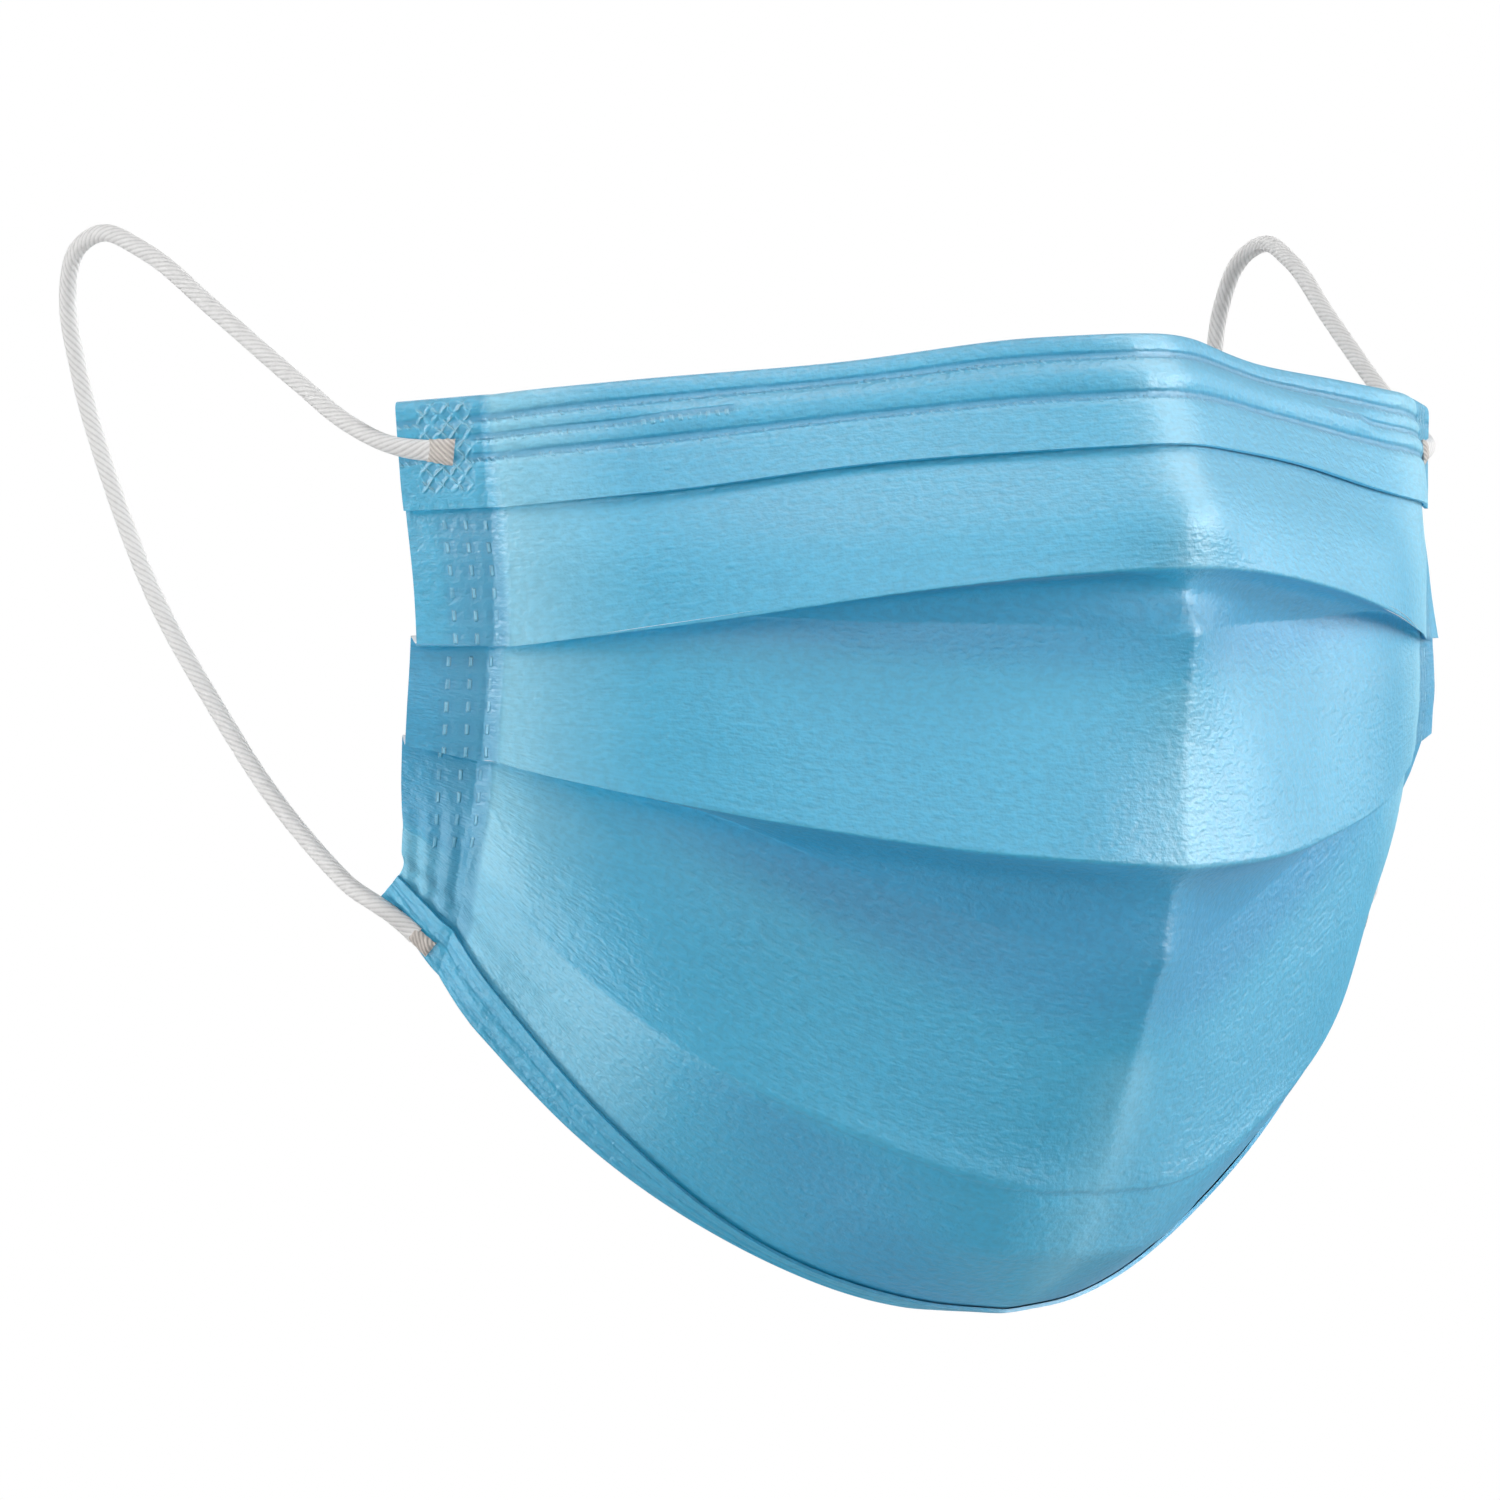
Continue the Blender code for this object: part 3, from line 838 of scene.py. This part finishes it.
def cordPoints(side):
    lift = loop["clearance"] + loop["diameter"] / 2
    ends = {}
    for place in loopEnds:
        base, out, along = tabFrame(side, place)
        start = base + out * lift + along * (loop["tabLength"] / 2 + loop["clearance"])
        ends[place] = (start, start + along * loop["diameter"] * loop["straight"])
    route = [*ends["top"]]
    for width, depth, height in loopRoute:
        route.append(np.array([side * width, depth - cloth["restDepth"],
                               height - cloth["restHeight"]]))
    route.extend(reversed(ends["bottom"]))
    route = np.array(route)
    gaps = np.linalg.norm(np.diff(route, axis=0), axis=1)
    marks = np.concatenate([[0], np.cumsum(gaps)])
    return hermite(marks, route, np.linspace(0, marks[-1], loop["points"]))


def cordPiece(sideName, side):
    points = cordPoints(side)
    steps = np.linalg.norm(np.diff(points, axis=0), axis=1)
    marks = np.concatenate([[0], np.cumsum(steps)])
    length = marks[-1]
    nearEnd = np.linspace(0.0002, 0.006, 14)
    fine = np.sort(np.concatenate([np.linspace(0, length, 380), nearEnd, length - nearEnd]))
    line = hermite(marks, points, fine)
    frames = {place: tabFrame(side, place) for place in loopEnds}
    into = loop["overlap"]
    line = np.concatenate([[line[0] - frames["top"][2] * into], line,
                           [line[-1] - frames["bottom"][2] * into]])
    fine = np.concatenate([[-into], fine, [length + into]])
    # the ends sink onto the binding and flatten towards their pressed tabs
    fromTop = np.clip(fine, 0, None)
    fromBottom = np.clip(length - fine, 0, None)
    sinks = [loop["sink"] * (1 - fade) ** 2 * (1 + 2 * fade)
             for fade in (np.clip(gap / loop["sinkReach"], 0, 1) for gap in (fromTop, fromBottom))]
    line = line - sinks[0][:, None] * frames["top"][1] - sinks[1][:, None] * frames["bottom"][1]
    heading = np.gradient(line, axis=0)
    heading /= np.linalg.norm(heading, axis=1, keepdims=True)
    across = np.cross(frames["top"][1], frames["top"][2])
    wide = []
    for way in heading:
        across = across - way * np.dot(across, way)
        across = across / np.linalg.norm(across)
        wide.append(across)
    wide = np.array(wide)
    high = np.cross(heading, wide)
    goal = np.cross(frames["bottom"][1], frames["bottom"][2])
    twist = math.atan2(np.dot(goal, high[-1]), np.dot(goal, wide[-1]))
    if abs(twist) > math.pi / 2:
        twist -= math.copysign(math.pi, twist)
    turn = (twist * fine / length)[:, None]
    wide, high = (wide * np.cos(turn) + high * np.sin(turn),
                  high * np.cos(turn) - wide * np.sin(turn))
    fades = [np.clip(gap / loop["flatReach"], 0, 1) for gap in (fromTop, fromBottom)]
    flat = sum((1 - fade) ** 2 * (1 + 2 * fade) for fade in fades)
    angles = np.linspace(0, math.tau, loop["sides"] + 1)
    radius = loop["diameter"] / 2
    halfWide = radius * (1 + 0.2 * flat)[:, None, None]
    halfHigh = radius * (1 - 0.55 * flat)[:, None, None]
    rings = (line[:, None] + wide[:, None] * np.cos(angles)[None, :, None] * halfWide
             + high[:, None] * np.sin(angles)[None, :, None] * halfHigh)
    name = f"earLoop{sideName}"
    mesh = bmesh.new()
    bmesh.ops.create_grid(mesh, x_segments=loop["sides"], y_segments=len(line) - 1, size=1)
    places = rings.reshape(-1, 3)
    uvLayer = mesh.loops.layers.uv.new("cordMap")
    for index, vertex in enumerate(mesh.verts):
        vertex.co = places[index]
    for face in mesh.faces:
        for spot in face.loops:
            ring, turnIndex = divmod(spot.vert.index, loop["sides"] + 1)
            spot[uvLayer].uv = (turnIndex / loop["sides"], fine[ring])
    bmesh.ops.remove_doubles(mesh, verts=mesh.verts, dist=1e-6)
    bmesh.ops.holes_fill(mesh, edges=[edge for edge in mesh.edges if edge.is_boundary], sides=0)
    bmesh.ops.recalc_face_normals(mesh, faces=mesh.faces)
    data = bpy.data.meshes.new(name)
    mesh.to_mesh(data)
    mesh.free()
    data.shade_smooth()
    data.set_sharp_from_angle(angle=math.radians(50))
    data.materials.append(knitElastic)
    made = bpy.data.objects.new(name, data)
    bpy.context.scene.collection.objects.link(made)
    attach(made, "root")
    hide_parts(f"ear_loop_{sideName.lower()}")
    return made


def tabPiece(sideName, side, place):
    # the loop's end, pressed flat and welded on
    base, out, along = tabFrame(side, place)
    wide = np.cross(out, along)
    name = f"pressedEnd{sideName}{place.capitalize()}"
    seat = base - out * (loop["clearance"] + 0.0003)
    mesh = bmesh.new()
    bmesh.ops.create_grid(mesh, x_segments=14, y_segments=12, size=1)
    uvLayer = mesh.loops.layers.uv.new("cordMap")
    for vertex in mesh.verts:
        u, v = vertex.co.x, vertex.co.y
        taper = 0.96 - 0.10 * u + 0.03 * math.sin(u * 9 + side)
        halfWidth = loop["tabWidth"] / 2 * loop["tabShare"][place] * taper
        rim = (1 - abs(u) ** 5) * (1 - abs(v) ** 4)
        rise = loop["tabThickness"] * (0.35 + 0.65 * rim + 0.18 * rim * max(u, 0))
        halfLength = loop["tabLength"] / 2 + 0.0003
        vertex.co = seat + along * u * halfLength + wide * v * halfWidth + out * rise
    for face in mesh.faces:
        for corner in face.loops:
            offset = np.array(corner.vert.co) - seat
            corner[uvLayer].uv = (float(np.dot(offset, wide)), float(np.dot(offset, along)))
    bmesh.ops.recalc_face_normals(mesh, faces=mesh.faces)
    if np.dot(np.array(list(mesh.faces)[0].normal), out) < 0:
        bmesh.ops.reverse_faces(mesh, faces=mesh.faces)
    data = bpy.data.meshes.new(name)
    mesh.to_mesh(data)
    mesh.free()
    data.shade_smooth()
    data.materials.append(pressedElastic)
    made = bpy.data.objects.new(name, data)
    bpy.context.scene.collection.objects.link(made)
    shell = made.modifiers.new("wall", "SOLIDIFY")
    shell.thickness = 0.0004
    shell.offset = -1
    bpy.context.view_layer.update()
    depsgraph = bpy.context.evaluated_depsgraph_get()
    made.data = bpy.data.meshes.new_from_object(made.evaluated_get(depsgraph))
    made.modifiers.clear()
    made.data.set_sharp_from_angle(angle=math.radians(60))
    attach(made, "root")
    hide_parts(f"loop_weld_{sideName.lower()}_{place}")
    return made


for sideName, side in (("Left", -1), ("Right", 1)):
    tabs = [tabPiece(sideName, side, place) for place in loopEnds]
    cordPiece(sideName, side)
print("ear loops made")

pleated = panelPiece()
topBinding = topBindingPiece()
hemBinding = hemPiece()
print("cloth made")


# the nose wire keeps its own shape, inside the top binding
wire = {
    "colour": (0.70, 0.71, 0.73, 1),
    "worn": (0.58, 0.59, 0.62, 1),
}


def wireFinish():
    finish, flow, shader = startFinish("coatedWire")
    place = flow.node("TexCoord", {}, {}, output=3)
    drawn = place.stretch((60, 60, 2600)).noise(1, 2.0)
    joinFinish(flow, shader, {
        "Base Color": drawn.step(0.3, 0.7).tint(wire["worn"], wire["colour"]),
        "Roughness": drawn * 0.15 + 0.3,
    }, drawn, 0.00004, 1.0)
    return finish


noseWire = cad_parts["nose_wire"]
noseWire.data.materials.clear()
noseWire.data.materials.append(wireFinish())


# the studio: a pale floor well below, a white surround and soft lights
studio = {
    "floorLevel": -1.0,
    "floorRadius": 2.3,
    "floorDark": (0.79, 0.79, 0.79, 1),
    "floorPale": (0.81, 0.81, 0.81, 1),
    "surround": 1.0,
    "fill": 0.0,
}

lamps = {
    # azimuth, elevation, distance, size, watts, and whether it shades, shines or does both
    "leftLow": (-110, -12, 1.4, 0.6, 10.5, "shade"),
    "frontLow": (-35, -12, 1.4, 0.6, 9.6, "shade"),
    "leftHigh": (-90, 50, 1.4, 0.6, 4.5, "shade"),
    "above": (0, 80, 1.4, 0.6, 5.4, "shade"),
    "rightRim": (110, 8, 1.4, 0.6, 11, "shade"),
    "rightKey": (35, 27, 1.4, 0.6, 10, "shade"),
    "rightLow": (80, -35, 1.4, 0.6, 12.9, "shade"),
    "leftUnderShine": (-100, -35, 1.4, 0.6, 8.7, "shine"),
    "leftShine": (-110, 27, 1.4, 0.6, 17.8, "shine"),
    "frontShine": (-35, 27, 1.4, 0.6, 5.2, "shine"),
    "middleShine": (0, 8, 1.4, 0.6, 3.1, "shine"),
    "topShine": (0, 80, 1.4, 0.6, 11.3, "shine"),
    "noseShine": (35, 10, 1.4, 0.6, 16.5, "shine"),
    "browShine": (40, 50, 1.4, 0.6, 5.5, "shine"),
    "cheekShine": (70, 14, 1.4, 0.6, 10.1, "shine"),
    "cheekTopShine": (90, 50, 1.4, 0.6, 7, "shine"),
    "rightLowShine": (80, -35, 1.4, 0.6, 4.2, "shine"),
    "behind": (165, 35, 1.4, 0.8, 6, "both"),
    "behindLeft": (-160, 5, 1.4, 0.8, 3, "both"),
}


def floorFinish():
    finish, flow, shader = startFinish("paleFloor")
    grain = flow.node("TexCoord", {}, {}, output=3).noise(5, 3.0)
    joinFinish(flow, shader, {
        "Base Color": grain.tint(studio["floorDark"], studio["floorPale"]),
        "Roughness": 0.9,
    })
    return finish


def buildStudio():
    mesh = bmesh.new()
    bmesh.ops.create_circle(mesh, cap_ends=True, segments=96, radius=studio["floorRadius"])
    bmesh.ops.translate(mesh, verts=mesh.verts, vec=(0, 0, studio["floorLevel"]))
    data = bpy.data.meshes.new("studioFloor")
    mesh.to_mesh(data)
    mesh.free()
    data.materials.append(floorFinish())
    floor = bpy.data.objects.new("studioFloor", data)
    bpy.context.scene.collection.objects.link(floor)
    # no light thrown back up, so the undersides of the pleats stay in shade
    floor.visible_diffuse = False
    for name, (azimuth, elevation, distance, size, watts, gives) in lamps.items():
        data = bpy.data.lights.new(name, "AREA")
        data.shape = "DISK"
        data.size = size
        data.energy = watts
        lamp = bpy.data.objects.new(name, data)
        direction = aim(azimuth, elevation)
        lamp.location = Vector((0, 0.03, -0.05)) - direction * distance
        lamp.rotation_euler = direction.to_track_quat("-Z", "Y").to_euler()
        lamp.visible_glossy = gives != "shade"
        lamp.visible_diffuse = gives != "shine"
        bpy.context.scene.collection.objects.link(lamp)
    world = bpy.data.worlds.new("whiteSurround")
    world.use_nodes = True
    flow = Flow(world.node_tree)
    seen = flow.node("LightPath", {}, {}, output=0)
    strength = seen * (studio["surround"] - studio["fill"]) + studio["fill"]
    background = world.node_tree.nodes["Background"]
    background.inputs["Color"].default_value = (1, 1, 1, 1)
    world.node_tree.links.new(strength.socket, background.inputs["Strength"])
    bpy.context.scene.world = world
    bpy.context.scene.view_settings.view_transform = "Standard"


buildStudio()
print("studio built")

bpy.context.view_layer.update()
